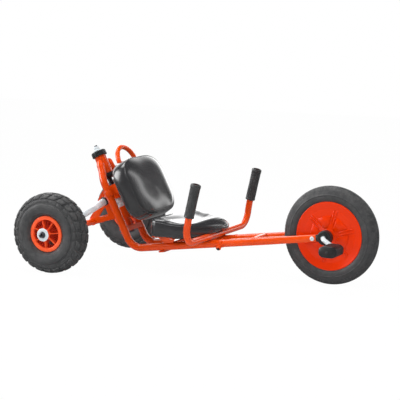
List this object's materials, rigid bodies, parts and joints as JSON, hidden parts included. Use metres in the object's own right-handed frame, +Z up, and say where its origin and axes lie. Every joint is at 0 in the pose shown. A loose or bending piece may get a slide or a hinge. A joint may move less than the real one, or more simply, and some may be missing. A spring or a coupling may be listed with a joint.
{
  "type": "tricycle",
  "caption": "Low pedal tricycle for a child: cranks turn the large front wheel, the rear axle steers on a sloping head tube, with a padded seat, backrest and side hand grips.",
  "frame": {"origin": "on the ground, below the middle of the tricycle's overall length and width", "axes": "+X forward towards the front wheel, +Y to the rider's left, +Z up"},
  "size_m": [1.1426, 0.663, 0.3966],
  "materials": {
    "frame_paint": "glossy orange-red powder coat",
    "disc_plastic": "moulded, glossy red-orange",
    "rim_plastic": "moulded, satin light orange-red",
    "tyre_rubber": "matt dark grey rubber",
    "black_rubber": "matt black rubber",
    "black_plastic": "matt black moulding",
    "black_vinyl": "glossy black vinyl over foam",
    "zinc_steel": "bright zinc plate",
    "dark_steel": "dark zinc plate",
    "plywood": "plain plywood board"
  },
  "bodies": {
    "frame": {"head_tube": "frame_paint", "head_cap_upper": "black_plastic", "head_cap_lower": "black_plastic", "lower_pivot_bracket": "frame_paint", "lower_bush": "black_plastic", "lower_cross_bar": "frame_paint", "frame_rail_left": "frame_paint", "frame_rail_right": "frame_paint", "clamp_screw_left": "dark_steel", "clamp_screw_right": "dark_steel", "handle_bar": "frame_paint", "grip_left": "black_rubber", "grip_right": "black_rubber", "bar_pad_left": "black_plastic", "bar_pad_right": "black_plastic", "bar_bolt_left": "zinc_steel", "bar_bolt_right": "zinc_steel", "seat_bracket": "frame_paint", "seat_bolt_rear_left": "zinc_steel", "seat_bolt_rear_right": "zinc_steel", "seat_bolt_front_left": "zinc_steel", "seat_bolt_front_right": "zinc_steel", "seat_pan": "black_plastic", "seat_cushion": "black_vinyl", "backrest_board": "plywood", "backrest_bracket": "frame_paint", "backrest_cushion": "black_vinyl", "backrest_hoop": "frame_paint"},
    "carriage": {"steering_spindle": "dark_steel", "spindle_nut": "zinc_steel", "upper_boss": "frame_paint", "spacer_ring": "zinc_steel", "lower_sleeve": "frame_paint", "stay_beam": "zinc_steel", "beam_sleeve": "frame_paint", "carriage_web": "frame_paint", "axle_tube": "frame_paint", "axle_rod": "zinc_steel", "axle_washer_left": "zinc_steel", "axle_washer_right": "zinc_steel", "axle_nut_left": "dark_steel", "axle_nut_right": "dark_steel"},
    "rear_wheel_left": {"rear_rim_left": "rim_plastic", "rear_tyre_left": "tyre_rubber"},
    "rear_wheel_right": {"rear_rim_right": "rim_plastic", "rear_tyre_right": "tyre_rubber"},
    "fork": {"fork_bridge": "frame_paint", "fork_blade_left": "frame_paint", "fork_blade_right": "frame_paint", "blade_bolt_left": "zinc_steel", "blade_bolt_right": "zinc_steel", "bearing_block_left": "black_plastic", "bearing_block_right": "black_plastic"},
    "front_wheel": {"front_tyre": "tyre_rubber", "front_disc_left": "disc_plastic", "front_disc_right": "disc_plastic", "crank_axle": "zinc_steel"},
    "pedal_left_body": {"pedal_left": "black_rubber"},
    "pedal_right_body": {"pedal_right": "black_rubber"}
  },
  "joints": [
    {"name": "rear_steering", "type": "hinge", "parent": "frame", "child": "carriage", "pos_m": [-0.30035, 0, 0.13], "axis": [-0.454, 0, 0.891], "range_deg": [-20, 20]},
    {"name": "rear_wheel_left_spin", "type": "hinge", "parent": "carriage", "child": "rear_wheel_left", "pos_m": [-0.44135, 0.2654, 0.13], "axis": [0, 1, 0], "continuous": true},
    {"name": "rear_wheel_right_spin", "type": "hinge", "parent": "carriage", "child": "rear_wheel_right", "pos_m": [-0.44135, -0.2654, 0.13], "axis": [0, 1, 0], "continuous": true},
    {"name": "fork_length", "type": "slide", "parent": "frame", "child": "fork", "axis": [0.9909, 0, 0.1349], "range_m": [0, 0.06]},
    {"name": "front_wheel_spin", "type": "hinge", "parent": "fork", "child": "front_wheel", "pos_m": [0.41615, 0, 0.1552], "axis": [0, 1, 0], "continuous": true},
    {"name": "pedal_left_spin", "type": "hinge", "parent": "front_wheel", "child": "pedal_left_body", "pos_m": [0.36494, 0.1355, 0.18243], "axis": [0, 1, 0], "continuous": true},
    {"name": "pedal_right_spin", "type": "hinge", "parent": "front_wheel", "child": "pedal_right_body", "pos_m": [0.46736, -0.1355, 0.12797], "axis": [0, 1, 0], "continuous": true}
  ]
}
